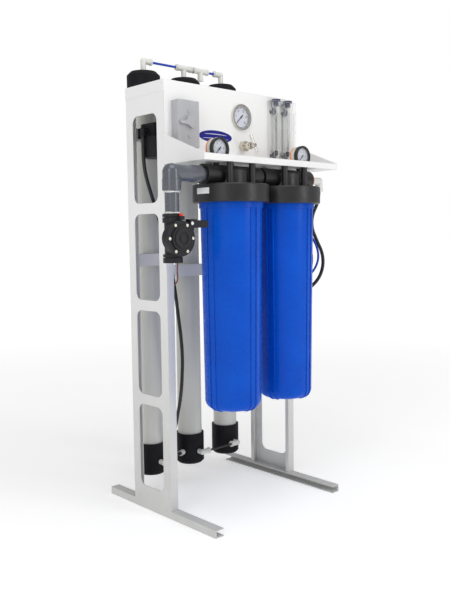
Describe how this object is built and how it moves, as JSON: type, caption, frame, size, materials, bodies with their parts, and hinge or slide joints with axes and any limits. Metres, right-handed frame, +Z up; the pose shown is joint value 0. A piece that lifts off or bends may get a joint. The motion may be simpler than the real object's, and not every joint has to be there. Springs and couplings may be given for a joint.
{
  "type": "reverse osmosis unit",
  "caption": "Floor-standing reverse osmosis water unit: an open steel frame with hanging blue filter housings, upright membrane tubes, flow meters and gauges.",
  "frame": {"origin": "on the floor, under the middle of the unit's bounding box", "axes": "+Z up, +X to the right as seen from the front, -Y towards the front where the blue housings hang"},
  "size_m": [0.5856, 0.4716, 1.1997],
  "materials": {
    "white_powder_coat": "satin",
    "zinc_plated_steel": "satin",
    "grey_white_pvc_tube": "satin",
    "black_plastic": "satin",
    "membrane_wrap": "gloss",
    "stainless_strap": "satin",
    "white_acetal": "satin",
    "black_tube": "satin",
    "blue_tube": "satin",
    "blue_housing": "gloss",
    "seal_rubber": "matte",
    "white_filter": "matte",
    "red_plastic": "gloss",
    "gauge_case": "gloss",
    "chrome_gauge_case": "polished",
    "clear_lens": "gloss",
    "needle_black": "matte",
    "grey_pvc": "satin",
    "cast_aluminium": "satin",
    "nickel": "polished",
    "navy_plastic": "satin"
  },
  "bodies": {
    "unit": {"bonnet_screws": "zinc_plated_steel", "booster_pump": "black_plastic", "control_panel": "white_powder_coat", "crossbars": "white_powder_coat", "drain_tube": "black_tube", "feed_hose": "black_tube", "feed_jumper": "black_tube", "filter_gauge_case_1": "gauge_case", "filter_gauge_case_2": "gauge_case", "filter_head_1": "black_plastic", "filter_head_2": "black_plastic", "filter_shelf": "white_powder_coat", "flow_meter_bodies": "clear_lens", "flow_meter_fittings": "navy_plastic", "foot_left": "white_powder_coat", "foot_right": "white_powder_coat", "frame_bolts": "zinc_plated_steel", "frame_side_left": "white_powder_coat", "frame_side_right": "white_powder_coat", "gauge_lenses": "clear_lens", "head_nipple": "black_plastic", "inlet_elbow": "grey_pvc", "inlet_pipes": "grey_pvc", "membrane_bottom_caps": "black_plastic", "membrane_clamps": "stainless_strap", "membrane_elements": "membrane_wrap", "membrane_top_caps": "black_plastic", "membrane_tube_1": "grey_white_pvc_tube", "membrane_tube_2": "grey_white_pvc_tube", "membrane_tube_3": "grey_white_pvc_tube", "needle_valve_body": "nickel", "outlet_elbow": "white_acetal", "outlet_hose": "black_tube", "panel_gauge_case": "chrome_gauge_case", "permeate_tubes": "blue_tube", "product_tube": "blue_tube", "push_fit_fittings": "white_acetal", "solenoid_coil": "black_plastic", "switch_box": "black_plastic", "switch_cover": "cast_aluminium", "valve_body": "black_plastic", "valve_bonnet": "black_plastic", "valve_lead": "black_tube"},
    "sump_1_ring": {"sump_oring_1": "seal_rubber"},
    "sump_1": {"filter_sump_1": "blue_housing", "filter_cartridge_1": "white_filter"},
    "relief_1": {"relief_button_1": "red_plastic"},
    "filter_needle_1": {"filter_gauge_needle_1": "needle_black"},
    "float_1": {"flow_meter_float_1": "red_plastic"},
    "sump_2_ring": {"sump_oring_2": "seal_rubber"},
    "sump_2": {"filter_sump_2": "blue_housing", "filter_cartridge_2": "white_filter"},
    "relief_2": {"relief_button_2": "red_plastic"},
    "filter_needle_2": {"filter_gauge_needle_2": "needle_black"},
    "float_2": {"flow_meter_float_2": "red_plastic"},
    "panel_needle": {"panel_gauge_needle": "needle_black"},
    "valve_handle": {"needle_valve_handle": "nickel"},
    "lever": {"switch_lever": "cast_aluminium"},
    "bleed": {"bleed_screw": "red_plastic"}
  },
  "joints": [
    {"name": "sump_turn_1", "type": "hinge", "parent": "unit", "child": "sump_1_ring", "pos_m": [-0.066, -0.1414, 0.8], "axis": [0, 0, -1], "range_deg": [0, 1440]},
    {"name": "sump_drop_1", "type": "slide", "parent": "sump_1_ring", "child": "sump_1", "axis": [0, 0, -1], "range_m": [0, 0.024]},
    {"name": "relief_press_1", "type": "slide", "parent": "unit", "child": "relief_1", "axis": [0, 0, -1], "range_m": [0, 0.003], "stiffness_N_per_m": 300, "springref_m": -0.002},
    {"name": "filter_needle_turn_1", "type": "hinge", "parent": "unit", "child": "filter_needle_1", "pos_m": [-0.1135, -0.1544, 0.9265], "axis": [0, 1, 0], "range_deg": [0, 270], "stiffness_Nm_per_rad": 0.0005, "springref_deg": -57.3},
    {"name": "float_rise_1", "type": "slide", "parent": "unit", "child": "float_1", "axis": [0, 0, 1], "range_m": [0, 0.1]},
    {"name": "sump_turn_2", "type": "hinge", "parent": "unit", "child": "sump_2_ring", "pos_m": [0.1262, -0.1414, 0.8], "axis": [0, 0, -1], "range_deg": [0, 1440]},
    {"name": "sump_drop_2", "type": "slide", "parent": "sump_2_ring", "child": "sump_2", "axis": [0, 0, -1], "range_m": [0, 0.024]},
    {"name": "relief_press_2", "type": "slide", "parent": "unit", "child": "relief_2", "axis": [0, 0, -1], "range_m": [0, 0.003], "stiffness_N_per_m": 300, "springref_m": -0.002},
    {"name": "filter_needle_turn_2", "type": "hinge", "parent": "unit", "child": "filter_needle_2", "pos_m": [0.1847, -0.1544, 0.9265], "axis": [0, 1, 0], "range_deg": [0, 270], "stiffness_Nm_per_rad": 0.0005, "springref_deg": -57.3},
    {"name": "float_rise_2", "type": "slide", "parent": "unit", "child": "float_2", "axis": [0, 0, 1], "range_m": [0, 0.1]},
    {"name": "panel_needle_turn", "type": "hinge", "parent": "unit", "child": "panel_needle", "pos_m": [0.073, -0.038, 1.0327], "axis": [0, 1, 0], "range_deg": [0, 270], "stiffness_Nm_per_rad": 0.0005, "springref_deg": -57.3},
    {"name": "valve_handle_turn", "type": "hinge", "parent": "unit", "child": "valve_handle", "pos_m": [0.0795, -0.079, 0.9565], "axis": [0, 1, 0], "range_deg": [-360, 1080]},
    {"name": "lever_turn", "type": "hinge", "parent": "unit", "child": "lever", "pos_m": [-0.1292, -0.07, 1.0036], "axis": [0, 1, 0], "range_deg": [0, 60]},
    {"name": "bleed_turn", "type": "hinge", "parent": "unit", "child": "bleed", "pos_m": [-0.2483, -0.1698, 0.765], "axis": [0, 0, 1], "range_deg": [0, 720]}
  ],
  "couplings": [
    {"joint": "sump_drop_1", "follows": "sump_turn_1", "m_per_rad": 0.00095493},
    {"joint": "sump_drop_2", "follows": "sump_turn_2", "m_per_rad": 0.00095493}
  ]
}
